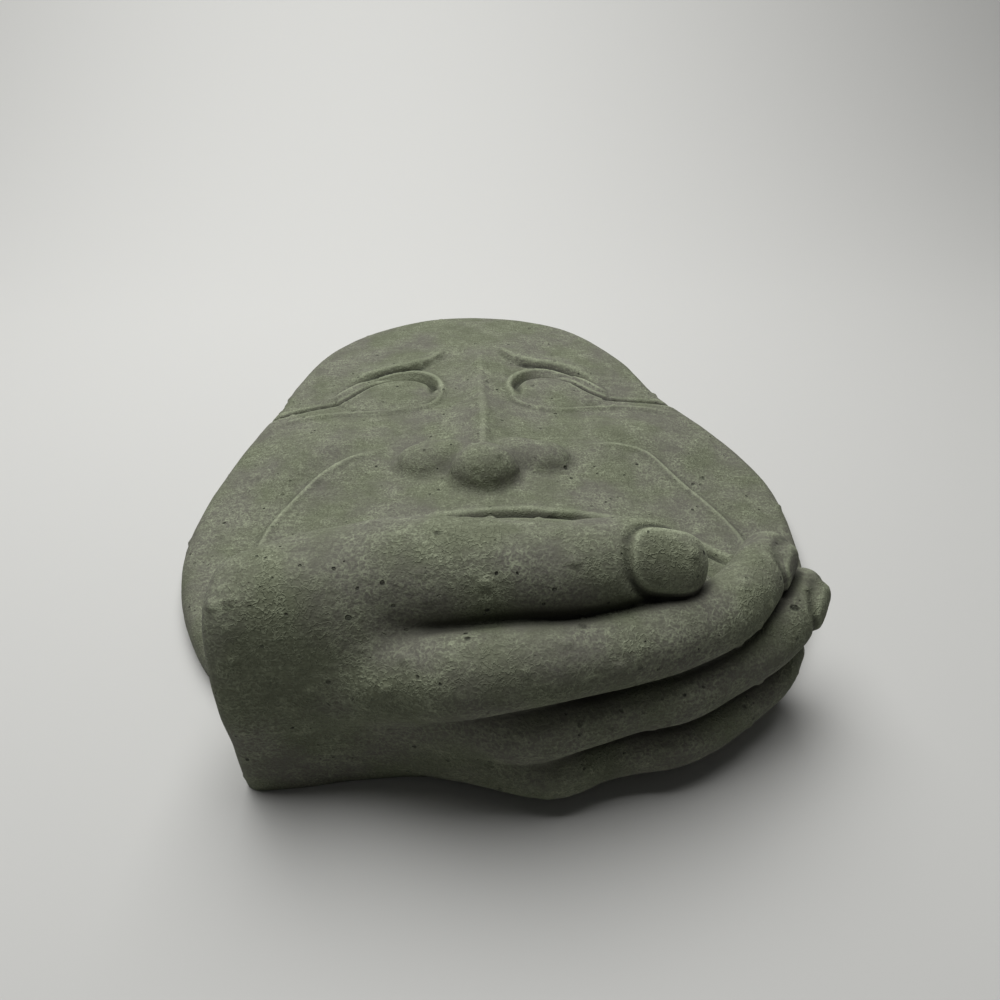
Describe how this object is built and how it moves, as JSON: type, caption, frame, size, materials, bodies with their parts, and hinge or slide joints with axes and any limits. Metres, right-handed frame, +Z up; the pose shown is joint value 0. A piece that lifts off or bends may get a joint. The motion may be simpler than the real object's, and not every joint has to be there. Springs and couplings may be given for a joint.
{
  "type": "face wall plaque",
  "caption": "One-piece cast stone wall plaque: a flat stylised face with almond eyes and a round nose, its chin held in a strongly projecting palm-up hand.",
  "frame": {"origin": "middle of the flat back, on the wall plane", "axes": "as hung: +X to the viewer's right, +Z up the wall towards the forehead, -Y out of the wall; +Y is the flat back's outward normal"},
  "size_m": [0.2483, 0.0799, 0.3229],
  "materials": {
    "cast_stone": "matt cast stone with pinholes and a pale green-grey rubbed patina on the high spots"
  },
  "bodies": {
    "root": {"face_plaque": "cast_stone"}
  },
  "joints": []
}
